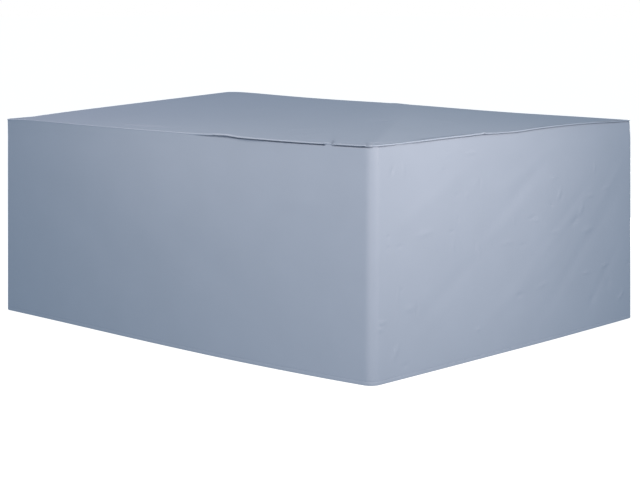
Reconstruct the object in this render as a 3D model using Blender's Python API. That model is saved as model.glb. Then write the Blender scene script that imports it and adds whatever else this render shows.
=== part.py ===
"""Fitted patio furniture cover of coated polyester: a crowned top panel sewn to one skirt.

The cover hangs as it does in use, hollow and open below, with nothing inside it. Metres, +Z up.
The origin is on the ground under the middle of the cover. The long walls are the front (-Y) and
the back (+Y), and the short walls are the right (+X) and the left (-X).
"""

import math
from collections import namedtuple

import bmesh
import bpy

# Driving dimensions.
SEAM_LENGTH = 2.000  # along X, wall to wall at the top seam
SEAM_WIDTH = 1.604  # along Y, wall to wall at the top seam
SEAM_HEIGHT = 0.800  # ground to the crest of the raised seam at a corner
HEM_FLARE = 0.016  # how far each wall leans out at the hem
CORNER_RADIUS = 0.040  # upright corners, which have no seam
SEAM_DRAW = 0.006  # how far the stitching draws the wall in at the seam
SEAM_DRAW_HEIGHT = 0.050  # the drawn-in part of the wall, below the crest
CLOTH = 0.0015  # thickness of the coated cloth
SEAM_GAP = 0.0004  # left between the top panel and the skirt's allowance under it
CORNER_EASE = 0.0014  # the allowance lies this much lower where it turns a corner

# The crown: the top rises to a soft ridge along X, a little higher at its left end.
RIDGE_LEFT_X = -0.506
RIDGE_RIGHT_X = 0.500
RIDGE_LEFT_RISE = 0.1030
RIDGE_RIGHT_RISE = 0.0922
RIDGE_SAG = 0.0066  # at the middle of the ridge
HIP_SHARPNESS = 10.0  # higher makes the soft hips from the ridge to the corners crisper
PANEL_DIP = 0.005  # how far the cloth dips between the ridge and the seams

# The raised seam, as insets from the wall (minus is outside it) and drops below the crest.
RimRow = namedtuple("RimRow", "inset drop stand_share")
PANEL_RIM = (
    RimRow(-0.0030, 0.0095, 1.0),  # the lip's lower edge
    RimRow(-0.0037, 0.0042, 0.6),
    RimRow(-0.0020, 0.0009, 0.3),
    RimRow(0.0010, 0.0000, 0.1),  # the crest
    RimRow(0.0050, 0.0022, 0.0),
    RimRow(0.0100, 0.0045, 0.0),  # the foot of the seam, where the crown starts
    RimRow(0.0210, 0.0045, 0.0),
)
SEAM_FOOT = PANEL_RIM[5]
ALLOWANCE_END = 0.0210  # the skirt's sewn allowance reaches this far in under the top
ALLOWANCE_START = 0.0120
FOLD_RADIUS = 0.0050  # where the skirt turns in under the top

# The hem is folded in and up once.
HEM_HEIGHT = 0.016
HEM_DEPTH = 0.0040  # outer face to inner face of the folded hem
WALL_LEVELS = (0.774, 0.748, 0.680, 0.590, 0.490, 0.390, 0.290, 0.190, 0.090)

# How the walls bow out between their corners, at the hem and at the seam.
Bow = namedtuple("Bow", "at_hem at_seam skew")
BOWS = {
    "front": Bow(0.033, 0.033, 0.7),
    "right": Bow(0.010, -0.008, 0.3),
    "back": Bow(0.032, 0.024, 0.0),
    "left": Bow(0.010, 0.002, 0.0),
}

# Soft swells (out) and hollows (minus) that the hanging cloth keeps in its walls.
Swell = namedtuple("Swell", "wall along up half_length half_height out")
SWELLS = (
    Swell("front", -0.55, 0.30, 0.30, 0.22, -0.003),
    Swell("front", 0.10, 0.52, 0.34, 0.16, 0.003),
    Swell("front", 0.72, 0.28, 0.18, 0.26, -0.004),
    Swell("right", -0.48, 0.55, 0.16, 0.20, 0.005),
    Swell("right", -0.18, 0.30, 0.20, 0.24, -0.006),
    Swell("right", 0.22, 0.50, 0.18, 0.18, 0.005),
    Swell("right", 0.52, 0.24, 0.16, 0.20, -0.005),
    Swell("right", 0.45, 0.70, 0.26, 0.05, -0.004),
    Swell("back", -0.40, 0.34, 0.30, 0.24, -0.005),
    Swell("back", 0.35, 0.46, 0.32, 0.22, 0.005),
    Swell("left", -0.25, 0.44, 0.22, 0.24, 0.004),
    Swell("left", 0.30, 0.28, 0.22, 0.20, -0.005),
)

# Where the sewn seam lifts, sags or lets its lip stand off the wall.
SeamWave = namedtuple("SeamWave", "wall along half_length lift stand")
SEAM_WAVES = (
    SeamWave("front", -0.45, 0.30, -0.0010, 0.0000),
    SeamWave("front", 0.58, 0.28, -0.0010, 0.0035),
    SeamWave("front", 0.44, 0.07, 0.0010, 0.0050),
    SeamWave("front", 0.82, 0.03, -0.0010, -0.0030),
    SeamWave("right", -0.45, 0.22, 0.0025, 0.0010),
    SeamWave("right", -0.12, 0.10, 0.0035, 0.0020),
    SeamWave("right", 0.30, 0.24, 0.0030, 0.0010),
    SeamWave("back", 0.20, 0.40, -0.0020, 0.0010),
    SeamWave("left", 0.05, 0.35, -0.0015, 0.0010),
)

# Mesh steps.
LONG_STEPS = 18
SHORT_STEPS = 14
CORNER_STEPS = 5

CLOTH_COLOUR = (0.330, 0.386, 0.484, 1.0)  # blue-grey, linear
CLOTH_ROUGHNESS = 0.62

HALF_LENGTH = SEAM_LENGTH / 2
HALF_WIDTH = SEAM_WIDTH / 2
Place = namedtuple("Place", "x y nx ny wall along")


def bump(distance, half_width):
    """A smooth hump: 1 at its middle and next to nothing at twice its half width."""
    return math.exp(-((distance / half_width) ** 2))


def bow_out(wall, along, z):
    """How far the wall bows out at this place, because nothing holds it between its corners."""
    half = HALF_LENGTH if wall in ("front", "back") else HALF_WIDTH
    share = max(-1.0, min(1.0, along / (half - CORNER_RADIUS)))
    bow = BOWS[wall]
    depth = bow.at_hem + (bow.at_seam - bow.at_hem) * z / SEAM_HEIGHT
    return depth * (1 - share**2) * (1 + bow.skew * share) / (1 + 0.2 * bow.skew)


def swell_out(wall, along, z):
    """The soft swells of one wall, faded to nothing at the seam, the hem and the corners."""
    half = HALF_LENGTH if wall in ("front", "back") else HALF_WIDTH
    fade = max(0.0, 1 - (along / (half - CORNER_RADIUS)) ** 4)
    fade *= min(1.0, (SEAM_HEIGHT - z) / 0.06)
    total = 0.0
    for swell in SWELLS:
        if swell.wall == wall:
            reach = bump(along - swell.along, swell.half_length)
            total += swell.out * reach * bump(z - swell.up, swell.half_height)
    return total * fade


def seam_wave(wall, along):
    """The seam's lift and its lip's stand-off at a place along it."""
    half = HALF_LENGTH if wall in ("front", "back") else HALF_WIDTH
    fade = max(0.0, 1 - (along / half) ** 6)
    lift = 0.0
    stand = 0.0
    for wave in SEAM_WAVES:
        if wave.wall == wall:
            reach = bump(along - wave.along, wave.half_length) * fade
            lift += wave.lift * reach
            stand += wave.stand * reach
    return lift, stand


def wall_place(wall, along):
    """A place on the straight part of a wall, on the outline at the seam."""
    if wall == "front":
        return Place(along, -HALF_WIDTH, 0.0, -1.0, wall, along)
    if wall == "back":
        return Place(along, HALF_WIDTH, 0.0, 1.0, wall, along)
    if wall == "right":
        return Place(HALF_LENGTH, along, 1.0, 0.0, wall, along)
    return Place(-HALF_LENGTH, along, -1.0, 0.0, wall, along)


def corner_place(sign_x, sign_y, angle):
    """A place on a rounded upright corner. The angle runs from the X wall (0) to the Y wall."""
    nx = sign_x * math.cos(angle)
    ny = sign_y * math.sin(angle)
    x = sign_x * (HALF_LENGTH - CORNER_RADIUS) + CORNER_RADIUS * nx
    y = sign_y * (HALF_WIDTH - CORNER_RADIUS) + CORNER_RADIUS * ny
    if angle < math.pi / 4:
        return Place(x, y, nx, ny, "right" if sign_x > 0 else "left", y)
    return Place(x, y, nx, ny, "front" if sign_y < 0 else "back", x)


def outline_places():
    """The places round the whole outline, anticlockwise from the left end of the front wall."""
    long_end = HALF_LENGTH - CORNER_RADIUS
    short_end = HALF_WIDTH - CORNER_RADIUS
    places = []
    for wall, end, steps, way, corner in (
        ("front", long_end, LONG_STEPS, 1, (1, -1, math.pi / 2, 0.0)),
        ("right", short_end, SHORT_STEPS, 1, (1, 1, 0.0, math.pi / 2)),
        ("back", long_end, LONG_STEPS, -1, (-1, 1, math.pi / 2, 0.0)),
        ("left", short_end, SHORT_STEPS, -1, (-1, -1, 0.0, math.pi / 2)),
    ):
        for i in range(steps):
            places.append(wall_place(wall, way * (2 * end * i / steps - end)))
        sign_x, sign_y, start, stop = corner
        for i in range(CORNER_STEPS):
            angle = start + (stop - start) * i / CORNER_STEPS
            places.append(corner_place(sign_x, sign_y, angle))
    return places


def moved_out(place, z, inset=0.0):
    """The point at height z on the wall at this place, or inside it by the inset."""
    lean = HEM_FLARE * (1 - z / SEAM_HEIGHT)
    drawn = max(0.0, 1 - (SEAM_HEIGHT - z) / SEAM_DRAW_HEIGHT)
    out = bow_out(place.wall, place.along, z) + swell_out(place.wall, place.along, z)
    out -= inset + SEAM_DRAW * drawn**2
    x = (place.x + place.nx * out) * (1 + lean / HALF_LENGTH)
    y = (place.y + place.ny * out) * (1 + lean / HALF_WIDTH)
    return (x, y, z)


def crown_rise(x, y):
    """How far the crown stands above the seam's foot at (x, y)."""
    reach = HALF_WIDTH - SEAM_FOOT.inset
    across = 1 - abs(y) / reach
    if x < 0:
        along = (x + HALF_LENGTH - SEAM_FOOT.inset) / (RIDGE_LEFT_X + HALF_LENGTH)
    else:
        along = (HALF_LENGTH - SEAM_FOOT.inset - x) / (HALF_LENGTH - RIDGE_RIGHT_X)
    across = max(across, 1e-4)
    along = max(along, 1e-4)
    share = (across**-HIP_SHARPNESS + along**-HIP_SHARPNESS) ** (-1 / HIP_SHARPNESS)
    way = (x - RIDGE_LEFT_X) / (RIDGE_RIGHT_X - RIDGE_LEFT_X)
    way = max(0.0, min(1.0, way))
    rise = RIDGE_LEFT_RISE + (RIDGE_RIGHT_RISE - RIDGE_LEFT_RISE) * way
    rise -= RIDGE_SAG * 4 * way * (1 - way)
    off_hip = 1 - (min(across, along) / max(across, along)) ** 3
    dip = PANEL_DIP * math.sin(math.pi * min(1.0, share)) * off_hip
    return rise * share - dip


def panel_point(place, row):
    """A point of the top panel's upper face on the seam or just inside it."""
    lift, stand = seam_wave(place.wall, place.along)
    inset = row.inset - stand * row.stand_share
    x, y, z = moved_out(place, SEAM_HEIGHT - row.drop, inset)
    z += lift
    if row.inset >= SEAM_FOOT.inset:
        z += crown_rise(place.x - place.nx * row.inset, place.y - place.ny * row.inset)
    return (x, y, z)


def rim_place(step_x, step_y, lines_x, lines_y):
    """The place on the outline that a vertex in the panel's border rings belongs to."""
    ring = min(step_x, step_y, len(lines_x) - 1 - step_x, len(lines_y) - 1 - step_y)
    rings = len(PANEL_RIM)
    sign_x = -1 if step_x < len(lines_x) / 2 else 1
    sign_y = -1 if step_y < len(lines_y) / 2 else 1
    deep_x = min(step_x, len(lines_x) - 1 - step_x)
    deep_y = min(step_y, len(lines_y) - 1 - step_y)
    if deep_x < rings and deep_y < rings:
        along_ring = (rings - max(deep_x, deep_y)) / (rings - ring)
        angle = math.pi / 4 * along_ring
        if deep_y < deep_x:
            angle = math.pi / 2 - angle
        return corner_place(sign_x, sign_y, angle)
    if deep_x < rings:
        return wall_place("right" if sign_x > 0 else "left", lines_y[step_y])
    return wall_place("front" if sign_y < 0 else "back", lines_x[step_x])


def grid_lines(end, steps):
    """The panel's grid lines one way: border rings at each end, whose own places are worked out
    later, and even steps between the two corner centres."""
    rings = [None] * len(PANEL_RIM)
    inner = [2 * end * i / steps - end for i in range(steps + 1)]
    return rings + inner + rings


def inner_point(x, y):
    """A point of the crown inside the border rings, following the walls' bow and lift."""
    share_y = y / HALF_WIDTH
    share_x = x / HALF_LENGTH
    wall_y = "front" if y < 0 else "back"
    wall_x = "right" if x > 0 else "left"
    out_y = bow_out(wall_y, x, SEAM_HEIGHT) * abs(share_y) ** 3
    out_x = bow_out(wall_x, y, SEAM_HEIGHT) * abs(share_x) ** 3
    lift = seam_wave(wall_y, x)[0] * abs(share_y) ** 6
    lift += seam_wave(wall_x, y)[0] * abs(share_x) ** 6
    z = SEAM_HEIGHT - SEAM_FOOT.drop + lift + crown_rise(x, y)
    return (x + math.copysign(out_x, x), y + math.copysign(out_y, y), z)


def cloth_material(name, shade):
    """Smooth coated polyester: a dull blue-grey with a soft broad shine."""
    material = bpy.data.materials.new(name)
    material.use_nodes = True
    shader = material.node_tree.nodes["Principled BSDF"]
    red, green, blue, alpha = CLOTH_COLOUR
    shader.inputs["Base Color"].default_value = (red * shade, green * shade, blue * shade, alpha)
    shader.inputs["Roughness"].default_value = CLOTH_ROUGHNESS
    shader.inputs["Metallic"].default_value = 0.0
    return material


def cloth_object(name, mesh, material):
    """Puts a sheet's outer face in the scene and gives it the cloth's thickness, inwards."""
    mesh.materials.append(material)
    mesh.shade_smooth()
    sheet = bpy.data.objects.new(name, mesh)
    bpy.context.scene.collection.objects.link(sheet)
    solidify = sheet.modifiers.new("cloth thickness", "SOLIDIFY")
    solidify.thickness = CLOTH
    solidify.offset = -1.0
    return sheet


def make_top_panel():
    """The crowned top, with its edge turned down over the skirt in a raised seam and lip."""
    lines_x = grid_lines(HALF_LENGTH - CORNER_RADIUS, LONG_STEPS)
    lines_y = grid_lines(HALF_WIDTH - CORNER_RADIUS, SHORT_STEPS)
    steps_x = len(lines_x) - 1
    steps_y = len(lines_y) - 1
    bm = bmesh.new()
    bmesh.ops.create_grid(bm, x_segments=steps_x, y_segments=steps_y, size=1.0)
    for vertex in bm.verts:
        step_x = round((vertex.co.x + 1) / 2 * steps_x)
        step_y = round((vertex.co.y + 1) / 2 * steps_y)
        ring = min(step_x, step_y, steps_x - step_x, steps_y - step_y)
        if ring < len(PANEL_RIM):
            place = rim_place(step_x, step_y, lines_x, lines_y)
            vertex.co = panel_point(place, PANEL_RIM[ring])
        else:
            vertex.co = inner_point(lines_x[step_x], lines_y[step_y])
    mesh = bpy.data.meshes.new("top_panel")
    bm.to_mesh(mesh)
    bm.free()
    return cloth_object("top_panel", mesh, cloth_material("coated polyester, top", 0.97))


def allowance_height(place, inset):
    """The height of the skirt's allowance, just under the top panel's lower face."""
    lift, _ = seam_wave(place.wall, place.along)
    rise = crown_rise(place.x - place.nx * inset, place.y - place.ny * inset)
    ease = SEAM_GAP + CORNER_EASE * 2 * abs(place.nx * place.ny)
    return SEAM_HEIGHT + lift - SEAM_FOOT.drop + rise - CLOTH - ease


def skirt_loops(places):
    """The skirt's outer face as loops of points, from the allowance under the top to the hem's
    turned-up edge inside."""
    loops = []
    for inset in (ALLOWANCE_END, ALLOWANCE_START):
        loop = []
        for place in places:
            x, y, _ = moved_out(place, SEAM_HEIGHT, inset)
            loop.append((x, y, allowance_height(place, inset)))
        loops.append(loop)
    for angle in (math.pi / 2, math.pi / 4, 0.0):
        inset = FOLD_RADIUS * (1 - math.cos(angle))
        drop = FOLD_RADIUS * (1 - math.sin(angle))
        loop = []
        for place in places:
            z = allowance_height(place, SEAM_FOOT.inset) - drop
            loop.append(moved_out(place, z, inset))
        loops.append(loop)
    for level in WALL_LEVELS:
        loops.append([moved_out(place, level) for place in places])
    radius = HEM_DEPTH / 2
    loops.append([moved_out(place, HEM_HEIGHT) for place in places])
    for step in range(5):
        angle = math.pi * step / 4
        inset = radius * (1 - math.cos(angle))
        z = radius * (1 - math.sin(angle))
        loops.append([moved_out(place, z, inset) for place in places])
    loops.append([moved_out(place, HEM_HEIGHT, HEM_DEPTH) for place in places])
    return loops


def ring_of_cloth(bm, loop):
    """A closed loop of edges through the points."""
    verts = [bm.verts.new(point) for point in loop]
    return [bm.edges.new((verts[i - 1], verts[i])) for i in range(len(verts))]


def make_skirt():
    """One wall strip round all four sides, turned in under the top and hemmed at the ground."""
    bm = bmesh.new()
    rings = [ring_of_cloth(bm, loop) for loop in skirt_loops(outline_places())]
    for upper, lower in zip(rings, rings[1:]):
        bmesh.ops.bridge_loops(bm, edges=upper + lower)
    bmesh.ops.recalc_face_normals(bm, faces=bm.faces)
    mesh = bpy.data.meshes.new("skirt")
    bm.to_mesh(mesh)
    bm.free()
    return cloth_object("skirt", mesh, cloth_material("coated polyester, skirt", 1.0))


def main():
    for old in list(bpy.data.objects):
        bpy.data.objects.remove(old)
    make_top_panel()
    make_skirt()


main()
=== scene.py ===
"""The looks of a fitted patio furniture cover: coated polyester cloth, its seams, hem and thread.

Run as a script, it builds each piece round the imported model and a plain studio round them. The
cover hangs as it does in use, hollow and open below. The long walls are the front (-Y) and the
back (+Y), and the short ones are the right (+X) and the left (-X).
"""

import math
from collections import namedtuple

import bmesh
import bpy
from bpy.props import FloatProperty, FloatVectorProperty, PointerProperty
from mathutils import Matrix, Vector


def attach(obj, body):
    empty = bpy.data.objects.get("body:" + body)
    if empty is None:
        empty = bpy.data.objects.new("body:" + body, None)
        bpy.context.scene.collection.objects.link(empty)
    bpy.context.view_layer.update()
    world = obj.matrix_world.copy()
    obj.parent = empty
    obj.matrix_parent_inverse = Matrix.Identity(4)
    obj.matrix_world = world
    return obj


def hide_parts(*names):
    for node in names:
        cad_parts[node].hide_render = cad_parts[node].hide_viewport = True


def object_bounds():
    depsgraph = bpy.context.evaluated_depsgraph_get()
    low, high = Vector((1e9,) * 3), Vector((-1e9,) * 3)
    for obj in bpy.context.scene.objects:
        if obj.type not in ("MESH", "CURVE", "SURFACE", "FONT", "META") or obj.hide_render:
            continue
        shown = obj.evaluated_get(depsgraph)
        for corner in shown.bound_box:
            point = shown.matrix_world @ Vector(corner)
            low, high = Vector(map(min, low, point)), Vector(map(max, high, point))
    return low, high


bl_info = {
    "name": "Patio furniture cover",
    "version": (1, 0, 0),
    "blender": (4, 5, 0),
    "location": "3D View > Sidebar > Cover",
    "description": "Builds a fitted furniture cover of coated polyester and a plain studio",
    "category": "Add Mesh",
}

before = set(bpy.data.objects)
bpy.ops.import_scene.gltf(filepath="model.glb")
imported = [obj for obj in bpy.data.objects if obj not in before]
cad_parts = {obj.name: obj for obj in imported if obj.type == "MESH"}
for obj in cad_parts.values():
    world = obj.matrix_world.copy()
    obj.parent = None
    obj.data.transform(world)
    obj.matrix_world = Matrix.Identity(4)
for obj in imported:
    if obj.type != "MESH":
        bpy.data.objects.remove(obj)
CAD_LOW, CAD_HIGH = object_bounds()

BODY = "root"
FLAT_MAP = "flat cloth"  # the UV map: where each point lay on the flat cloth, in metres
PAINTED_SHADE_LAYER = "gap"  # the attribute: how much painted shade a point gets in the gap under the lip or in a slit, from 0 to 1
PAINTED_HIGHLIGHT_LAYER = "crest"  # the attribute: how much painted highlight a point on the seam's crest gets, from 0 to 1
# The columns of the tables below that aren't lengths. Their lengths are in millimetres.
NOT_LENGTHS = ("wall", "lip", "gap", "lean", "tilt", "stand_share", "curl_share")
MM_IN_M = 1000


def rows_of(kind, *rows):
    """The rows of a table as named tuples of this kind, its lengths turned from mm into metres."""
    lengths = [name not in NOT_LENGTHS for name in kind._fields]
    return [kind(*(v / MM_IN_M if size else v for v, size in zip(row, lengths))) for row in rows]


# The raised seam, as insets from the wall (minus is outside it) and drops below the crest. The
# shares say how far a row follows the lip where it stands off the wall and where it curls up.
RimRow = namedtuple("RimRow", "inset drop stand_share curl_share")
PANEL_RIM = rows_of(
    RimRow,
    (-3, 9.5, 1, 0.85),  # the lip's lower edge
    (-3.6, 6.8, 0.8, 0.9),
    (-3.7, 4.2, 0.6, 0.95),
    (-3.2, 2.2, 0.45, 1),
    (-2, 0.9, 0.3, 1),
    (-0.6, 0.2, 0.2, 1),
    (1, 0, 0.1, 1),  # the crest
    (3, 0.8, 0.05, 0.9),
    (5, 2.2, 0, 0.75),
    (7.5, 3.6, 0, 0.55),
    (10, 4.5, 0, 0.4),  # the foot of the seam, where the crown starts
    (15, 4.5, 0, 0.22),
    (21, 4.5, 0, 0.1),
    (30, 4.5, 0, 0),
)
LIP_EDGE = PANEL_RIM[0]
CREST = PANEL_RIM[6]
SEAM_FOOT = PANEL_RIM[10]
SEAM_STITCH = RimRow(0.0088, 0.0041, 0.00, 0.47)  # the row of stitches, just outside the foot
ALLOWANCE_ENDS = (0.0210, 0.0165, 0.0120)  # the skirt's sewn allowance, in under the top
FOLD_RADIUS = 0.0035  # where the skirt turns in under the top
SEAM_GAP = 0.0004  # between the top panel and the allowance under it
CORNER_EASE = 0.0014  # the allowance lies this much lower where it turns a corner
# the rows of the seam's crest that get the painted highlight
PAINTED_HIGHLIGHT_ROWS = PANEL_RIM[2:9]
PAINTED_HIGHLIGHT_SHARES = {"front": 0.3, "right": 1.0}  # how strong the painted highlight on the crest is; others as the front
# How far the stitching draws each wall in at the seam, or the crown pushes it out (minus), at
# the wall's left or front end and at its other end.
SEAM_DRAW = {
    "front": (-0.003, -0.003),
    "right": (0.002, 0.012),
    "back": (0.006, 0.006),
    "left": (0.006, 0.006),
}
SEAM_DRAW_HEIGHT = 0.080  # how far down the wall that draw reaches
CORNER_HOLD = 0.30  # how much of that draw the stiffer corners hold off
RIDGE_LEFT_X = -0.506  # the ends of the crown's ridge
RIDGE_RIGHT_X = 0.500
RIDGE_SAG = 0.0066  # how far the ridge sags between its ends
HIP_SHARPNESS = 10.0  # how sharply the crown's four slopes meet
PANEL_DIP = 0.005  # how far each slope sinks between the ridge and the seam
NEAR_ZERO = 1e-4  # the least share of a slope, which keeps it off zero

# How the forms fade. The first five are powers: the higher, the narrower the band of fading.
SWELL_FADE = 4  # the swells towards the corners
SEAM_WAVE_FADE = 6  # the seam's waves towards the corners
HIP_FADE = 3  # the slopes' dip towards the hips
BOW_FADE = 3  # the walls' bow from the seam into the top
LIFT_FADE = 6  # the seam's lift into the top
BOW_EVENING = 0.2  # keeps a skewed bow about as deep as an even one
SWELL_END = 0.06  # the swells fade out over this height below the seam
CREASE_END = 0.014  # the creases end this far below the seam
CREASE_FADE = 0.02  # and fade out over this height
HUMP_END = 9  # past this exponent nothing of a hump shows

# How the walls bow out between their corners, at the hem and at the seam.
Bow = namedtuple("Bow", "at_hem at_seam skew")
BOWS = {
    "front": Bow(0.033, 0.033, 0.7),
    "right": Bow(0.010, -0.008, 0.3),
    "back": Bow(0.032, 0.024, 0.0),
    "left": Bow(0.010, 0.002, 0.0),
}

# Soft swells (out) and hollows (minus) that the hanging cloth keeps in its walls.
Swell = namedtuple("Swell", "wall along up half_length half_height out")
SWELLS = rows_of(
    Swell,
    ("front", -550, 300, 300, 220, -3),
    ("front", 100, 520, 340, 160, 3),
    ("front", 720, 280, 180, 260, -4),
    ("right", -480, 550, 160, 200, 5),
    ("right", -180, 300, 200, 240, -6),
    ("right", 220, 500, 180, 180, 5),
    ("right", 520, 240, 160, 200, -5),
    ("right", 500, 600, 260, 130, 9),
    ("back", -400, 340, 300, 240, -5),
    ("back", 350, 460, 320, 220, 5),
    ("left", -250, 440, 220, 240, 4),
    ("left", 300, 280, 220, 200, -5),
)

# Where the sewn seam lifts, sags or lets its lip stand off the wall.
SeamWave = namedtuple("SeamWave", "wall along half_length lift stand")
SEAM_WAVES = rows_of(
    SeamWave,
    ("front", -450, 300, -1, 0),
    ("front", 580, 280, -1, 3.5),
    ("front", 440, 70, 1, 5),
    ("front", 820, 30, -1, -3),
    ("right", -450, 220, 2.5, 1),
    ("right", -120, 100, 3.5, 2),
    ("right", 300, 240, 3, 1),
    ("back", 200, 400, -2, 1),
    ("left", 50, 350, -1.5, 1),
)

# Where the lip curls up and out, more gently to one side than to the other.
LipCurl = namedtuple("LipCurl", "wall along reach_left reach_right up out")
LIP_CURLS = rows_of(
    LipCurl,
    ("front", 345, 90, 45, 5.2, 2.2),
    ("front", 287, 6, 6, 1.6, 0.6),
    ("right", -182, 10, 14, 1.6, 1.6),
    ("back", -300, 80, 30, 3, 1.8),
)

# The sewn edge at places along each wall: how far the seam rises above the corner height, how
# far its lip stands out or lies in, the lip's share of its full depth, and how far the gap under
# it is open, from 0 to 1, which also sets the painted shade in that gap.
SeamKnot = namedtuple("SeamKnot", "along lift stand lip gap")
SEAM_KNOTS = {
    "front": rows_of(
        SeamKnot,
        (-990, -4, -4.2, 0.84, 0), (-800, 2.5, -4.4, 0.84, 0), (-300, 4.2, -4.4, 0.84, 0),
        (100, 6.5, -4.4, 0.84, 0), (180, 8, -3.6, 0.8, 0), (220, 8.8, -0.8, 0.62, 0.14),
        (250, 9, 0, 0.6, 0.22), (360, 10.6, 0, 0.58, 0.36), (390, 10.6, 0, 0.54, 0.85),
        (795, 10.6, 0, 0.5, 0.85), (806, 10.6, -2.4, 0.66, 0.05), (832, 10.6, -2.4, 0.66, 0.05),
        (848, 11, 0, 0.5, 0.75), (950, 11.4, 0, 0.5, 0.85), (990, 11.6, -0.5, 0.5, 0.45),
    ),
    "right": rows_of(
        SeamKnot,
        (-790, 11.8, -1, 0.5, 0.06), (-774, 11.8, -1, 0.5, 0.15), (-762, 11.8, -0.6, 0.48, 0.46),
        (-700, 10.6, -1, 0.46, 0.3), (-660, 10, -1.2, 0.45, 0.1), (-550, 9.5, -1, 0.48, 0.35),
        (-330, 11.5, -1, 0.48, 0.45), (-220, 12, -1, 0.48, 0.51), (-100, 7, -1, 0.45, 0.32),
        (30, 7.2, -1, 0.45, 0.38), (150, 9.8, -1, 0.42, 0.42), (420, 10.5, -1, 0.38, 0.28),
        (550, 9, -1.2, 0.32, 0.28), (700, 4.5, -1.5, 0.25, 0.24), (790, 4, -1.5, 0.3, 0.1),
    ),
    "back": rows_of(
        SeamKnot,
        (-990, 3, -1.5, 0.5, 0.1), (-350, 6, 0, 0.6, 0.6), (100, 5, -1, 0.5, 0.2),
        (600, 4, 0, 0.55, 0.45), (990, 4, -1.5, 0.3, 0.1),
    ),
    "left": rows_of(
        SeamKnot,
        (-790, -4, -4.2, 0.84, 0), (-100, 4, -0.5, 0.5, 0.3), (400, 5, -1, 0.5, 0.2),
        (790, 3, -1.5, 0.5, 0.1),
    ),
}
RIDGE_SHARE = 0.15  # how much of its drop the seam keeps inside the crest, where the top meets it
RIDGE_BLEND = (0.010, 0.030)  # the insets between which the top comes back to its own height
GAP_DEPTH = 0.0058  # how far the skirt is drawn in behind an open gap
GAP_SPAN = (0.0012, 0.0062)  # below the lip: full depth down to here, and none from here on

# Puckers where the sewing gathered the top's edge: a soft rise with a slit beside its crest. The
# slit starts at its offset from the rise and leans back towards -X or -Y as it runs inwards.
SLIT_FULL = 0.0060  # a slit this deep gets the full painted shade
PUCKER_LENGTH = 0.1  # no pucker reaches further than this along the seam from its middle
PUCKER_DEPTH = 0.2  # or than this into the top
Pucker = namedtuple("Pucker", "wall along half_length rise offset slit_half slit_deep lean reach")
PUCKERS = rows_of(
    Pucker,
    ("front", 814, 18, 2.2, 20, 4.6, 3, 0.88, 110),
    ("front", 966, 10, 1.4, 10, 4.4, 2, 0.86, 70),
    ("right", -182, 10, 1.6, 9, 2.6, 0.3, 0.1, 12),
    ("back", -300, 18, 2.6, 14, 4, 2, 0.4, 36),
    ("left", 280, 16, 2.4, -12, 3.8, 1.8, 0.4, 30),
)

# The cloth's mesh steps, and the spans along a wall where the sewing's small forms need finer ones.
PANEL_STEP_X = 0.0125
PANEL_STEP_Y = 0.0130
SKIRT_STEPS = {"front": 0.014, "right": 0.006, "back": 0.028, "left": 0.028}
CORNER_STEP = 0.0065
ROW_STEP = 0.0060
FINE_STEP = 0.0035
FINE_SPANS = {
    "front": ((0.262, 0.306), (0.745, 0.850)),
    "right": ((-0.762, -0.680), (-0.200, -0.160)),
    "back": ((-0.330, -0.260),),
    "left": ((0.255, 0.295),),
}

# Below the fold of the skirt, rows that follow the gap and the shoulder under it.
SHOULDER_DROPS = (0.0045, 0.0056, 0.0068, 0.0080, 0.0094, 0.0112, 0.0135, 0.0165, 0.0200, 0.0245)
SHOULDER_END = 0.034  # below the crest: from here down the rows are level
FOLD_STEPS = 4  # the mesh steps round that fold
# The hem's outer face: the height, and how far the stitching pulls it in or its fold fills it out.
HEM_FACE = (
    (0.0150, 0.0001), (0.0143, 0.0003), (0.0136, 0.0004), (0.0129, 0.0003), (0.0118, 0.0000),
    (0.0085, -0.0002), (0.0045, -0.0002),
)
HEM_STITCH = HEM_FACE[2]
HEM_STEPS = 6  # the mesh steps round the hem's folded edge
SAME_POINT = 1e-5  # points as close as this are one
SEAM_SLOPE = 3.0  # how steeply the stitches of the seam face up, as a rise for each step inwards

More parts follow.
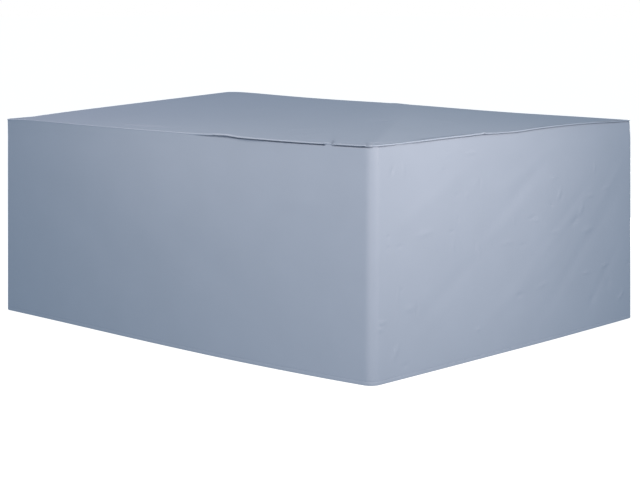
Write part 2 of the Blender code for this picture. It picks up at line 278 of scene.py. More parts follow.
# Creases and dents pressed into the cloth when it was folded for sale: soft troughs (minus) or
# ridges. Each lies at a place along and up its wall, and tilts up towards +X or +Y, in degrees.
Crease = namedtuple("Crease", "along up half_length half_width out tilt")
WALL_CREASES = {
    "right": rows_of(
        Crease,
        # Long soft undulations.
        (-460, 620, 260, 30, 1.7, 24), (50, 600, 200, 28, -2, 32), (120, 680, 240, 26, 1.7, 20),
        (320, 470, 200, 24, -2.1, 35), (240, 400, 260, 26, 2, 34), (400, 300, 300, 30, -1.9, 38),
        (-100, 460, 200, 30, 1.5, 28), (-360, 300, 240, 30, -1.7, 30), (60, 240, 240, 32, 1.7, 24),
        (620, 560, 120, 22, 1.7, 40), (580, 200, 120, 22, -1.7, 46),
        # Short dents and folds.
        (-700, 720, 14, 8, -2, 70), (-640, 720, 6, 16, 1.8, 0), (-420, 700, 14, 5, -2, 0),
        (-400, 750, 18, 6, 1.5, 4), (-260, 748, 34, 6, 2, -2), (-250, 739, 22, 5, -1.5, 0),
        (-210, 640, 5, 14, -1.8, 0), (-240, 636, 14, 12, 1.3, 0), (-350, 606, 12, 6, -1.5, 10),
        (-290, 600, 10, 10, 1.3, 0), (-340, 520, 6, 12, -1.5, 0), (-380, 480, 16, 5, -1.8, 0),
        (-370, 430, 8, 20, 1.8, 20), (-240, 412, 5, 16, -2, 0), (-215, 380, 5, 16, 1.8, 8),
        (-50, 404, 30, 7, 1.4, 0), (40, 384, 18, 6, -1.5, -6), (-10, 480, 5, 18, 1.5, 4),
        (100, 482, 24, 5, -2.4, 4), (120, 470, 14, 5, 2, -10), (270, 555, 20, 5, 2, 56),
        (285, 540, 16, 5, -1.5, 56), (220, 520, 12, 6, -2.7, -40), (240, 620, 20, 8, 2, 0),
        (510, 637, 6, 14, 2, 0), (480, 530, 26, 5, 2.4, 0), (580, 548, 22, 5, 2, 6),
        (420, 482, 12, 26, 2.1, -30), (380, 440, 30, 12, -2.8, 24), (470, 398, 36, 12, 2.8, 4),
        (240, 412, 28, 6, 1.5, 0), (590, 243, 24, 5, 3.2, 10), (460, 228, 26, 5, 2.4, 0),
        (160, 220, 34, 7, 1.5, 8), (20, 200, 20, 8, -2, 0), (700, 105, 22, 7, 2.8, 34),
        (760, 232, 14, 5, -2.4, 10), (500, 120, 22, 16, -2, 40), (610, 170, 20, 20, -2, 50),
        (-530, 490, 40, 10, 1.8, 6), (-660, 460, 18, 5, -1.5, 0), (-720, 460, 10, 5, -2, 0),
        (-720, 500, 8, 6, -2, 0), (-650, 310, 8, 6, -1.5, 0), (-670, 290, 5, 22, 1.8, 0),
        (-570, 230, 5, 18, -2.4, 0), (-610, 240, 22, 10, 1.8, 0), (-750, 212, 18, 5, 2.4, 0),
        (-760, 188, 14, 6, 1.8, 0), (-680, 100, 10, 26, 2, -30), (-630, 45, 12, 8, -1.5, 0),
        (-230, 110, 12, 6, 1.8, 0),
    ),
    "front": rows_of(
        Crease,
        (-450, 400, 340, 60, -1.4, -34), (-150, 460, 340, 60, 1.4, -34),
        (300, 300, 300, 50, -1.3, -30), (700, 600, 100, 30, 1, 0), (400, 340, 6, 16, -0.8, 0),
    ),
    "back": rows_of(
        Crease,
        (-500, 550, 260, 35, -2.1, 26), (50, 360, 300, 40, 1.9, -28), (550, 300, 220, 30, -2.1, 30),
        (300, 620, 30, 6, 1.6, 8), (-280, 440, 26, 7, -1.6, -20), (-620, 240, 22, 6, 1.8, 12),
    ),
    "left": rows_of(
        Crease,
        (-200, 600, 220, 30, 1.9, -26), (180, 400, 240, 30, -2.1, -30),
        (400, 220, 160, 26, 1.9, -24), (-440, 340, 26, 6, 1.8, 0), (60, 520, 8, 18, -1.6, 0),
    ),
}

# The same in the top panel, by x and y; the tilt turns from +X towards +Y.
TopCrease = namedtuple("TopCrease", "x y half_length half_width up tilt")
TOP_CREASES = rows_of(
    TopCrease,
    (420, -10, 45, 16, 2.2, 42), (640, -330, 50, 18, -2.2, 42), (460, -540, 60, 18, 1.8, 42),
    (530, -720, 50, 14, -1.8, 42), (580, -620, 50, 14, 1.8, 42), (580, 270, 60, 22, -2.2, 42),
    (750, -100, 50, 20, 1.8, 42), (-230, -720, 150, 12, -3.4, 3), (-200, -690, 120, 12, 2.6, 5),
    (-60, -250, 70, 24, 1.8, 42), (-450, 300, 90, 26, -2.2, -30), (200, 520, 80, 24, 2.2, 12),
    (-620, -360, 70, 22, 1.8, 20),
)

QUARTER = math.pi / 2  # a quarter turn
# Which way each wall faces, as (nx, ny).
FACINGS = {"front": (0.0, -1.0), "right": (1.0, 0.0), "back": (0.0, 1.0), "left": (-1.0, 0.0)}
Place = namedtuple("Place", "x y nx ny wall along")
SkirtRow = namedtuple("SkirtRow", "inset level drop")

# The cloth's and the thread's patterns: sizes in metres, and shares of the base colour.
DRIFT_SIZE = 0.16
DRIFT_SHADES = (0.97, 1.03)
DRIFT_ROUGHNESS = (0.53, 0.63)
WEAVE_PITCH = 0.0024
WEAVE_HEIGHT = 0.00008
WAVE_RATE = 20  # how many radians of its wave the Wave Texture puts in a metre at scale 1
CRINKLES = ((0.060, 0.0007), (0.016, 0.00018))  # how far across, and how deep
TWIST_PITCH = 0.0008
TWIST_HEIGHT = 0.0001
# the twist's hollows are painted darker and its round tops lighter: painted shade and highlight
TWIST_PAINTED_SHADING = (0.85, 1.1)

# The studio's softboxes: where each stands, where it points, its width and its tint.
SoftLight = namedtuple("SoftLight", "name place aim width tint")
TOWARDS_CORNER = (0.30, -0.20, 0.45)
SOFT_LIGHTS = (
    SoftLight("front light", (0.16, -2.00, 1.92), TOWARDS_CORNER, 0.9, "#FFEEDE"),
    SoftLight("right light", (2.40, -0.37, 1.20), TOWARDS_CORNER, 0.9, "#FFF0E3"),
    SoftLight("low light", (2.08, -2.48, 0.70), TOWARDS_CORNER, 0.9, "#FFF1E6"),
    SoftLight("left light", (-3.00, -0.72, 2.20), TOWARDS_CORNER, 1.2, "#FFE6ED"),
    SoftLight("back light", (-0.30, 3.40, 0.55), (-0.10, 0.30, 0.45), 1.0, "#FFF1E6"),
)
WHITE = (1.0, 1.0, 1.0)
FLOOR_REACH = 60.0  # from the floor's middle to its edges
FLOOR_SHADE = 0.30  # the share of the light on it that the floor sends back
FLOOR_GLOW = 0.90  # and its own light, which makes it show as white
SENSOR_WIDTH = 36.0  # in millimetres


def linear(hex_colour):
    """An sRGB hex colour as the linear red, green and blue that Blender works in."""
    shares = (int(hex_colour[i:i + 2], 16) / 255 for i in (1, 3, 5))
    return tuple(c / 12.92 if c <= 0.04045 else ((c + 0.055) / 1.055) ** 2.4 for c in shares)


def length(name, description, default):
    """A size in metres that a user can change."""
    return FloatProperty(
        name=name, description=description, default=default, min=0.0, unit="LENGTH", precision=4
    )


def colour(name, description, hex_colour):
    """A colour that a user can change."""
    return FloatVectorProperty(
        name=name, description=description, default=linear(hex_colour),
        subtype="COLOR", min=0.0, max=1.0,
    )


def power(name, description, default):
    """The power of a light, in watts."""
    return FloatProperty(
        name=name, description=description, default=default, min=0.0, unit="POWER"
    )


class CoverSizes(bpy.types.PropertyGroup):
    """The sizes that the cover was cut and sewn to."""

    seam_length: length("Length", "Wall to wall along X at the top seam", 2.000)
    seam_width: length("Width", "Wall to wall along Y at the top seam", 1.604)
    seam_height: length("Height", "Ground to the crest of the top seam at a corner", 0.800)
    hem_flare: length("Hem flare", "How far each wall leans out at the hem", 0.016)
    corner_radius: length("Corner radius", "Radius of the upright corners", 0.040)
    left_rise: length("Crown, left", "Rise of the top's ridge at its left end", 0.1030)
    right_rise: length("Crown, right", "Rise of the top's ridge at its right end", 0.0922)
    cloth: length("Cloth thickness", "Thickness of the coated cloth", 0.0015)
    hem_height: length("Hem height", "Height of the folded hem", 0.016)
    hem_depth: length("Hem depth", "Outer face to inner face of the folded hem", 0.0040)
    stitch_length: length("Stitch length", "One stitch of a row of sewing", 0.0042)
    stitch_pitch: length("Stitch pitch", "From one stitch to the next", 0.0055)
    thread: length("Thread thickness", "Thickness of the sewing thread", 0.0008)


class CoverColours(bpy.types.PropertyGroup):
    """The colours of the cloth and its thread."""

    cloth: colour("Cloth", "The coated polyester", "#9BA4B4")
    # the colour of the painted highlight on the seam's crest
    crest: colour("Painted crest highlight", "The cloth where its coating is stretched over the seam", "#ADB6C5")
    # the colour of the painted shade in the gap under the lip and in the slits
    gap: colour("Gap", "The cloth deep in the gap under the lip and in its slits", "#33435C")
    thread: colour("Thread", "The sewing thread", "#A3ABBA")


class StudioSettings(bpy.types.PropertyGroup):
    """The camera and the lights."""

    camera_place: FloatVectorProperty(
        name="Camera place", description="Where the camera stands", subtype="TRANSLATION",
        unit="LENGTH", default=(4.5542, -4.9237, 1.3218),
    )
    camera_pitch: FloatProperty(
        name="Camera pitch", description="How far the camera looks down", subtype="ANGLE",
        default=math.radians(8.620),
    )
    camera_turn: FloatProperty(
        name="Camera turn", description="The camera's turn about the upright", subtype="ANGLE",
        default=math.radians(42.597),
    )
    lens: FloatProperty(name="Lens", description="Focal length", default=93.0, unit="CAMERA")
    front_light: power("Front light", "The softbox over the front wall", 18.5)
    right_light: power("Right light", "The softbox facing the right wall", 24.0)
    low_light: power("Low light", "The softbox low at the near corner", 21.2)
    left_light: power("Left light", "The softbox over the left wall", 23.0)
    back_light: power("Back light", "The softbox behind the cover", 45.0)
    room: colour("Room", "The even light of the pale room, a little cool", "#98ADBD")


def bump(distance, half_width):
    """A smooth hump: 1 at its middle and next to nothing at twice its half width."""
    return math.exp(-((distance / half_width) ** 2))


def tilted_bump(across, up, crease):
    """A long soft hump along a crease's own tilted line."""
    turn = math.radians(crease.tilt)
    along_line = across * math.cos(turn) + up * math.sin(turn)
    off_line = up * math.cos(turn) - across * math.sin(turn)
    reach = (along_line / crease.half_length) ** 2 + (off_line / crease.half_width) ** 2
    return math.exp(-reach) if reach < HUMP_END else 0.0


def soft_step(value, low, high):
    """0 up to low, 1 from high, and a smooth rise between them."""
    share = max(0.0, min(1.0, (value - low) / (high - low)))
    return share * share * (3 - 2 * share)


def knot_at(wall, along):
    """The knot that lies at a place along a wall, mixed from the two beside it."""
    knots = SEAM_KNOTS[wall]
    for knot, after in zip(knots, knots[1:]):
        if along <= after.along:
            share = max(0.0, (along - knot.along) / (after.along - knot.along))
            return SeamKnot(*(a + (b - a) * share for a, b in zip(knot, after)))
    return knots[-1]


def mesh_lines(end, step, fine_spans):
    """Places from -end to end, one mesh step apart, and finer where a span asks for it."""
    lines = [-end]
    while lines[-1] < end:
        fine = any(low < lines[-1] < high for low, high in fine_spans)
        lines.append(lines[-1] + (FINE_STEP if fine else step))
    stretch = 2 * end / (lines[-1] + end)
    return [(line + end) * stretch - end for line in lines]


class CoverShape:
    """Where every point of the hanging cover lies, worked out from the sizes."""

    def __init__(self, sizes):
        self.sizes = sizes
        self.half_length = sizes.seam_length / 2
        self.half_width = sizes.seam_width / 2
        self.height = sizes.seam_height
        self.radius = sizes.corner_radius

    def half(self, wall):
        """Half the wall's length at the seam."""
        return self.half_length if wall in ("front", "back") else self.half_width

    def bow_out(self, wall, along, z):
        """How far the wall bows out here, because nothing holds it between its corners."""
        share = along / (self.half(wall) - self.radius)
        share = max(-1.0, min(1.0, share))
        bow = BOWS[wall]
        depth = bow.at_hem + (bow.at_seam - bow.at_hem) * z / self.height
        return depth * (1 - share**2) * (1 + bow.skew * share) / (1 + BOW_EVENING * bow.skew)

    def swell_out(self, wall, along, z):
        """The soft swells of one wall, faded to nothing at the seam and the corners."""
        fade = max(0.0, 1 - (along / (self.half(wall) - self.radius)) ** SWELL_FADE)
        fade *= min(1.0, (self.height - z) / SWELL_END)
        total = 0.0
        for swell in SWELLS:
            if swell.wall == wall:
                reach = bump(along - swell.along, swell.half_length)
                total += swell.out * reach * bump(z - swell.up, swell.half_height)
        return total * fade

    def crease_out(self, wall, along, z):
        """The creases and dents of one wall."""
        fade = max(0.0, min(1.0, (self.height - CREASE_END - z) / CREASE_FADE))
        total = 0.0
        for crease in WALL_CREASES[wall]:
            total += crease.out * tilted_bump(along - crease.along, z - crease.up, crease)
        return total * fade

    def seam_wave(self, wall, along):
        """The seam's lift and its lip's stand-off at a place along it."""
        fade = max(0.0, 1 - (along / self.half(wall)) ** SEAM_WAVE_FADE)
        knot = knot_at(wall, along)
        lift = knot.lift
        stand = knot.stand
        for wave in SEAM_WAVES:
            if wave.wall == wall:
                reach = bump(along - wave.along, wave.half_length) * fade
                lift += wave.lift * reach
                stand += wave.stand * reach
        return lift, stand

    def lip_curl(self, wall, along):
        """How far the lip curls up and out at a place along it."""
        up = 0.0
        out = 0.0
        for curl in LIP_CURLS:
            if curl.wall == wall:
                way = along - curl.along
                reach = bump(way, curl.reach_left if way < 0 else curl.reach_right)
                up += curl.up * reach
                out += curl.out * reach
        return up, out

    def slit_share(self, pucker, along, inward):
        """How deep in a pucker's slit a place lies, from 0 to 1."""
        inward = max(0.0, inward)
        line = pucker.along + pucker.offset - pucker.lean * inward
        return bump(along - line, pucker.slit_half) * bump(inward, pucker.reach)

    def pucker_lift(self, wall, along, inward):
        """How far the puckers raise the top's edge, or sink it in their slits."""
        total = 0.0
        for pucker in PUCKERS:
            near = abs(along - pucker.along) < PUCKER_LENGTH and inward < PUCKER_DEPTH
            if pucker.wall == wall and near:
                rise = bump(along - pucker.along, pucker.half_length)
                rise *= bump(max(0.0, inward), pucker.reach)
                total += pucker.rise * rise
                total -= pucker.slit_deep * self.slit_share(pucker, along, inward)
        return total

    def slit_shade(self, wall, along, inward):
        """How much painted shade a place of the top gets in any slit, from 0 to 1."""
        shares = [0.0]
        for pucker in PUCKERS:
            if pucker.wall == wall:
                deep = min(1.0, pucker.slit_deep / SLIT_FULL)
                shares.append(deep * self.slit_share(pucker, along, inward))
        return max(shares)

    def row_drop(self, place, row):
        """How far a row of the sewn edge lies below the crest: less under a shallow lip, and less
        inside the crest, where the top is drawn up to it."""
        if row.inset < CREST.inset:
            return row.drop * knot_at(place.wall, place.along).lip
        return row.drop * (RIDGE_SHARE + (1 - RIDGE_SHARE) * soft_step(row.inset, *RIDGE_BLEND))

    def gap_share(self, place, z):
        """How far a point of the skirt lies in the open gap under the lip, from 0 to 1."""
        lift = self.seam_wave(place.wall, place.along)[0]
        knot = knot_at(place.wall, place.along)
        below_lip = self.height + lift - z - LIP_EDGE.drop * knot.lip
        if below_lip > GAP_SPAN[1]:
            return 0.0
        return knot.gap * (1 - soft_step(below_lip, *GAP_SPAN))

    def wall_place(self, wall, along):
        """A place on the straight part of a wall, on the outline at the seam."""
        nx, ny = FACINGS[wall]
        x = nx * self.half_length if nx else along
        y = ny * self.half_width if ny else along
        return Place(x, y, nx, ny, wall, along)

    def corner_place(self, sign_x, sign_y, angle):
        """A place on a rounded corner. The angle runs from the X wall (0) to the Y wall."""
        nx = sign_x * math.cos(angle)
        ny = sign_y * math.sin(angle)
        x = sign_x * (self.half_length - self.radius) + self.radius * nx
        y = sign_y * (self.half_width - self.radius) + self.radius * ny
        if angle < QUARTER / 2:
            return Place(x, y, nx, ny, "right" if sign_x > 0 else "left", y)
        return Place(x, y, nx, ny, "front" if sign_y < 0 else "back", x)

    def outline_places(self, steps, corner_step, fine_spans):
        """The places round the whole outline, anticlockwise from the front wall's left end."""
        places = []
        count = round(self.radius * QUARTER / corner_step)
        for wall, way, sign_x, sign_y, start, stop in (
            ("front", 1, 1, -1, QUARTER, 0.0),
            ("right", 1, 1, 1, 0.0, QUARTER),
            ("back", -1, -1, 1, QUARTER, 0.0),
            ("left", -1, -1, -1, 0.0, QUARTER),
        ):
            lines = mesh_lines(self.half(wall) - self.radius, steps[wall], fine_spans.get(wall, ()))
            places.extend(self.wall_place(wall, along) for along in lines[::way][:-1])
            for i in range(count):
                angle = start + (stop - start) * i / count
                places.append(self.corner_place(sign_x, sign_y, angle))
        return places

    def moved_out(self, place, z, inset=0.0):
        """The point at height z on the wall at this place, or inside it by the inset."""
        lean = self.sizes.hem_flare * (1 - z / self.height)
        drawn = max(0.0, min(1.0, 1 - (self.height - z) / SEAM_DRAW_HEIGHT))
        drawn *= 1 - CORNER_HOLD * abs(2 * place.nx * place.ny)
        out = self.bow_out(place.wall, place.along, z) + self.swell_out(place.wall, place.along, z)
        out += self.crease_out(place.wall, place.along, z)
        low_end, high_end = SEAM_DRAW[place.wall]
        way = (place.along / self.half(place.wall) + 1) / 2
        out -= inset + (low_end + (high_end - low_end) * way) * drawn**2
        x = (place.x + place.nx * out) * (1 + lean / self.half_length)
        y = (place.y + place.ny * out) * (1 + lean / self.half_width)
        return (x, y, z)

    def crown_rise(self, x, y):
        """How far the crown stands above the seam's foot at (x, y)."""
        reach = self.half_width - SEAM_FOOT.inset
        across = 1 - abs(y) / reach
        if x < 0:
            along = (x + self.half_length - SEAM_FOOT.inset) / (RIDGE_LEFT_X + self.half_length)
        else:
            along = (self.half_length - SEAM_FOOT.inset - x) / (self.half_length - RIDGE_RIGHT_X)
        across = max(across, NEAR_ZERO)
        along = max(along, NEAR_ZERO)
        share = (across**-HIP_SHARPNESS + along**-HIP_SHARPNESS) ** (-1 / HIP_SHARPNESS)
        way = (x - RIDGE_LEFT_X) / (RIDGE_RIGHT_X - RIDGE_LEFT_X)
        way = max(0.0, min(1.0, way))
        rise = self.sizes.left_rise * (1 - way) + self.sizes.right_rise * way
        rise -= RIDGE_SAG * 4 * way * (1 - way)
        off_hip = 1 - (min(across, along) / max(across, along)) ** HIP_FADE
        dip = PANEL_DIP * math.sin(math.pi * min(1.0, share)) * off_hip
        return rise * share - dip

    def top_crease(self, x, y):
        """The creases of the top panel."""
        total = 0.0
        for crease in TOP_CREASES:
            total += crease.up * tilted_bump(x - crease.x, y - crease.y, crease)
        return total

    def panel_point(self, place, row):
        """A point of the top panel's upper face on the seam or just inside it."""
        lift, stand = self.seam_wave(place.wall, place.along)
        curl_up, curl_out = self.lip_curl(place.wall, place.along)
        inset = row.inset - (stand + curl_out) * row.stand_share
        x, y, z = self.moved_out(place, self.height - self.row_drop(place, row), inset)
        z += lift + curl_up * row.curl_share
        z += self.pucker_lift(place.wall, place.along, row.inset)
        if row.inset >= SEAM_FOOT.inset:
            inner_x = place.x - place.nx * row.inset
            inner_y = place.y - place.ny * row.inset
            z += self.crown_rise(inner_x, inner_y)
        return (x, y, z)

    def inner_point(self, x, y):
        """A point of the crown inside the seam, following the walls' bow and the seam's lift."""
        wall_y = "front" if y < 0 else "back"
        wall_x = "right" if x > 0 else "left"
        share_y = abs(y) / self.half_width
        share_x = abs(x) / self.half_length
        out_y = self.bow_out(wall_y, x, self.height) * share_y**BOW_FADE
        out_x = self.bow_out(wall_x, y, self.height) * share_x**BOW_FADE
        lift = self.seam_wave(wall_y, x)[0] * share_y**LIFT_FADE
        lift += self.seam_wave(wall_x, y)[0] * share_x**LIFT_FADE
        lift += self.pucker_lift(wall_y, x, self.half_width - abs(y))
        lift += self.pucker_lift(wall_x, y, self.half_length - abs(x))
        z = self.height - SEAM_FOOT.drop + lift + self.crown_rise(x, y) + self.top_crease(x, y)
        return (x + math.copysign(out_x, x), y + math.copysign(out_y, y), z)

    def inner_shade(self, x, y):
        """How much painted shade a point of the crown inside the seam gets in a slit, from 0 to 1.
        """
        over_y = self.slit_shade("front" if y < 0 else "back", x, self.half_width - abs(y))
        over_x = self.slit_shade("right" if x > 0 else "left", y, self.half_length - abs(x))
        return max(over_y, over_x)

    def allowance_height(self, place, inset):
        """The height of the skirt's allowance, just under the top panel's lower face."""
        lift = self.seam_wave(place.wall, place.along)[0]
        rise = self.crown_rise(place.x - place.nx * inset, place.y - place.ny * inset)
        ease = SEAM_GAP + CORNER_EASE * 2 * abs(place.nx * place.ny)
        return self.height + lift - SEAM_FOOT.drop * RIDGE_SHARE + rise - self.sizes.cloth - ease

    def skirt_point(self, place, row):
        """A point of the skirt's outer face, with how far it lies in the gap under the lip, which
        also sets its painted shade.
        """
        z = row.level
        if z is None:
            z = self.allowance_height(place, max(row.inset, SEAM_FOOT.inset)) - row.drop
        share = self.gap_share(place, z)
        deeper = 0.0 if row.inset > FOLD_RADIUS else GAP_DEPTH * share
        return self.moved_out(place, z, row.inset + deeper), share


def set_inputs(tree, node, values):
    """Sets a node's inputs, or links them where the value is another node's output."""
    for name, value in values.items():
        if isinstance(value, bpy.types.NodeSocket):
            tree.links.new(value, node.inputs[name])
        else:
            node.inputs[name].default_value = value


def add_node(tree, kind, output, inputs=None, **settings):
    """Adds a shader node of this kind, with its inputs and settings, and gives one output of it."""
    node = tree.nodes.new("ShaderNode" + kind)
    for name, value in settings.items():
        setattr(node, name, value)
    set_inputs(tree, node, inputs or {})
    return node.outputs[output]


def new_material(name):
    """A material with an empty node tree but for its Principled shader and output."""
    material = bpy.data.materials.new(name)
    material.use_nodes = True
    return material, material.node_tree, material.node_tree.nodes["Principled BSDF"]


def wave_scale(pitch):
    """The Wave Texture's scale for bands that are one pitch apart, in metres."""
    return math.tau / (WAVE_RATE * pitch)


def shade_of(colour_value, share):
    """A colour made lighter or darker by a share."""
    return (*(channel * share for channel in colour_value), 1.0)


def coated_polyester(colours):
    """Coated polyester, plain-woven and then coated on its outer face: a dull, even blue-grey
    with a soft broad sheen, in which the faint crinkles of cloth that was folded for sale show
    and the weave hardly does."""
    name = "coated woven polyester"
    if name in bpy.data.materials:
        return bpy.data.materials[name]
    material, tree, shader = new_material(name)
    body = add_node(tree, "TexCoord", "Object")
    flat = add_node(tree, "UVMap", "UV", uv_map=FLAT_MAP)

    # The coating lies a little thicker in some places than in others, so the colour drifts by
    # a few parts in a hundred over a hand's width, and the gloss with it.
    drift = add_node(
        tree, "TexNoise", "Fac", {"Vector": body, "Scale": 1 / DRIFT_SIZE, "Detail": 2.0}
    )
    thin, thick = (shade_of(colours.cloth, share) for share in DRIFT_SHADES)
    cloth = add_node(tree, "Mix", 2, {"Factor": drift, 6: thin, 7: thick}, data_type="RGBA")
    low, high = DRIFT_ROUGHNESS
    gloss = add_node(tree, "MapRange", "Result", {"Value": drift, "To Min": low, "To Max": high})

    # A painted highlight on the crest of the seam draws it as a fine light line. In the gap under
    # the lip and in the slits beside the puckers a painted shade darkens the cloth.
    for layer, shade in ((PAINTED_HIGHLIGHT_LAYER, colours.crest), (PAINTED_SHADE_LAYER, colours.gap)):
        reach = add_node(tree, "Attribute", "Fac", attribute_name=layer)
        mix = {"Factor": reach, 6: cloth, 7: shade_of(shade, 1.0)}
        cloth = add_node(tree, "Mix", 2, mix, data_type="RGBA")

    # The plain weave, seen through the coating. Real threads are 0.4 mm apart, which no picture
    # of the whole cover shows, so they are drawn 2.4 mm apart and very low.
    threads = {}
    for socket, direction in enumerate(("X", "Y")):
        threads[socket] = add_node(
            tree, "TexWave", "Fac",
            {"Vector": flat, "Scale": wave_scale(WEAVE_PITCH), "Distortion": 0.4},
            bands_direction=direction,
        )
    weave = add_node(tree, "Math", "Value", threads, operation="MULTIPLY")
    bumped = add_node(
        tree, "Bump", "Normal", {"Height": weave, "Strength": 0.25, "Distance": WEAVE_HEIGHT}
    )

    # Crinkles from folding: soft ones a few centimetres across, and fine ones between them.
    for size, depth in CRINKLES:
        crinkle = add_node(
            tree, "TexNoise", "Fac", {"Vector": body, "Scale": 1 / size, "Detail": 1.5}
        )
        bumped = add_node(
            tree, "Bump", "Normal",
            {"Height": crinkle, "Strength": 1.0, "Distance": depth, "Normal": bumped},
        )
    set_inputs(tree, shader, {
        "Base Color": cloth,
        "Roughness": gloss,
        "Normal": bumped,
        "Specular IOR Level": 0.35,
        "Sheen Weight": 0.03,
        "Sheen Roughness": 0.5,
    })
    return material


def polyester_thread(colours):
    """Spun polyester sewing thread: a shade lighter than the cloth, dull, and twisted, which gives
    each stitch fine slanting lines, drawn with painted shade in the twist's hollows and a painted
    highlight on its round tops."""
    name = "spun polyester thread"
    if name in bpy.data.materials:
        return bpy.data.materials[name]
    material, tree, shader = new_material(name)
    body = add_node(tree, "TexCoord", "Object")
    twist = add_node(
        tree, "TexWave", "Fac", {"Vector": body, "Scale": wave_scale(TWIST_PITCH)},
        bands_direction="DIAGONAL",
    )
    # painted shade in the twist's hollows and a painted highlight on its round tops
    hollow, painted_top_highlight = (shade_of(colours.thread, share) for share in TWIST_PAINTED_SHADING)
    fibres = add_node(tree, "Mix", 2, {"Factor": twist, 6: hollow, 7: painted_top_highlight}, data_type="RGBA")
    bumped = add_node(
        tree, "Bump", "Normal", {"Height": twist, "Strength": 0.6, "Distance": TWIST_HEIGHT}
    )
    set_inputs(tree, shader, {
        "Base Color": fibres,
        "Normal": bumped,
        "Specular IOR Level": 0.3,
        "Roughness": 0.7,
    })
    return material


def mesh_of(name, bm, material):
    """The bmesh as a mesh with this material."""
    mesh = bpy.data.meshes.new(name)
    bm.to_mesh(mesh)
    bm.free()
    mesh.materials.append(material)
    return mesh


def added(name, data):
    """A new object with this data, in the scene."""
    thing = bpy.data.objects.new(name, data)
    bpy.context.scene.collection.objects.link(thing)
    return thing


def finished(name, bm, material):
    """The bmesh as a smooth-shaded piece that rides on the cover's one body."""
    mesh = mesh_of(name, bm, material)
    mesh.shade_smooth()
    piece = added(name, mesh)
    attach(piece, BODY)
    return piece


def lay_flat_map(bm, flat_places):
    """Writes where each vertex lay on the flat cloth, in metres, into the sheet's UV map."""
    layer = bm.loops.layers.uv.new(FLAT_MAP)
    for face in bm.faces:
        for loop in face.loops:
            loop[layer].uv = flat_places[loop.vert]


def rim_place(shape, step_x, step_y, lines_x, lines_y):
    """The place on the outline that a vertex in the panel's border rings belongs to."""
    last_x = len(lines_x) - 1
    last_y = len(lines_y) - 1
    deep_x = min(step_x, last_x - step_x)
    deep_y = min(step_y, last_y - step_y)
    ring = min(deep_x, deep_y)
    rings = len(PANEL_RIM)
    sign_x = -1 if step_x < last_x / 2 else 1
    sign_y = -1 if step_y < last_y / 2 else 1
    if deep_x < rings and deep_y < rings:
        angle = QUARTER / 2 * (rings - max(deep_x, deep_y)) / (rings - ring)
        if deep_y < deep_x:
            angle = QUARTER - angle
        return shape.corner_place(sign_x, sign_y, angle)
    if deep_x < rings:
        return shape.wall_place("right" if sign_x > 0 else "left", lines_y[step_y])
    return shape.wall_place("front" if sign_y < 0 else "back", lines_x[step_x])


def top_panel_mesh(shape):
    """The crowned top, with its edge turned down over the skirt in a raised seam and lip."""
    rings = [None] * len(PANEL_RIM)
    spans_x = FINE_SPANS["front"] + FINE_SPANS["back"]
    spans_y = FINE_SPANS["right"] + FINE_SPANS["left"]
    end_x = shape.half_length - shape.radius
    end_y = shape.half_width - shape.radius
    lines_x = rings + mesh_lines(end_x, PANEL_STEP_X, spans_x) + rings
    lines_y = rings + mesh_lines(end_y, PANEL_STEP_Y, spans_y) + rings
    last_x = len(lines_x) - 1
    last_y = len(lines_y) - 1
    bm = bmesh.new()
    bmesh.ops.create_grid(bm, x_segments=last_x, y_segments=last_y, size=1.0)
    shade = bm.verts.layers.float.new(PAINTED_SHADE_LAYER)
    crest = bm.verts.layers.float.new(PAINTED_HIGHLIGHT_LAYER)
    flat_places = {}
    for vertex in bm.verts:
        step_x = round((vertex.co.x + 1) / 2 * last_x)
        step_y = round((vertex.co.y + 1) / 2 * last_y)
        ring = min(step_x, step_y, last_x - step_x, last_y - step_y)
        if ring < len(PANEL_RIM):
            place = rim_place(shape, step_x, step_y, lines_x, lines_y)
            row = PANEL_RIM[ring]
            vertex.co = shape.panel_point(place, row)
            # painted shade in the slits
            vertex[shade] = shape.slit_shade(place.wall, place.along, row.inset)
            # the painted highlight on the crest, strongest on the right wall
            if row in PAINTED_HIGHLIGHT_ROWS:
                side = max(0.0, place.nx) ** 2
                vertex[crest] = PAINTED_HIGHLIGHT_SHARES["front"] * (1 - side) + PAINTED_HIGHLIGHT_SHARES["right"] * side
        else:
            vertex.co = shape.inner_point(lines_x[step_x], lines_y[step_y])
            vertex[shade] = shape.inner_shade(lines_x[step_x], lines_y[step_y])
        flat_places[vertex] = (vertex.co.x, vertex.co.y)
    lay_flat_map(bm, flat_places)
    return bm


def skirt_rows(shape):
    """The rows of the skirt from its allowance under the top to the hem's turned-up edge. The
    upper ones lie at a drop below the allowance and so follow the seam, the others at a level."""
    rows = [SkirtRow(inset, None, 0.0) for inset in ALLOWANCE_ENDS]
    for step in range(FOLD_STEPS + 1):
        angle = QUARTER * (1 - step / FOLD_STEPS)
        inset = FOLD_RADIUS * (1 - math.cos(angle))
        rows.append(SkirtRow(inset, None, FOLD_RADIUS * (1 - math.sin(angle))))
    rows.extend(SkirtRow(0.0, None, drop) for drop in SHOULDER_DROPS)
    hem_top = shape.sizes.hem_height
    tall = shape.height - SHOULDER_END - hem_top
    steps = round(tall / ROW_STEP)
    for step in range(steps + 1):
        rows.append(SkirtRow(0.0, hem_top + tall * (1 - step / steps), 0.0))
    rows.extend(SkirtRow(inset, level, 0.0) for level, inset in HEM_FACE)
    fold = shape.sizes.hem_depth / 2
    for step in range(HEM_STEPS + 1):
        angle = math.pi * step / HEM_STEPS
        rows.append(SkirtRow(fold * (1 - math.cos(angle)), fold * (1 - math.sin(angle)), 0.0))
    rows.append(SkirtRow(shape.sizes.hem_depth, hem_top, 0.0))
    return rows


def ways_along(points):
    """How far along a line each of its points lies."""
    ways = [0.0]
    for point, after in zip(points, points[1:]):
        ways.append(ways[-1] + math.dist(point, after))
    return ways


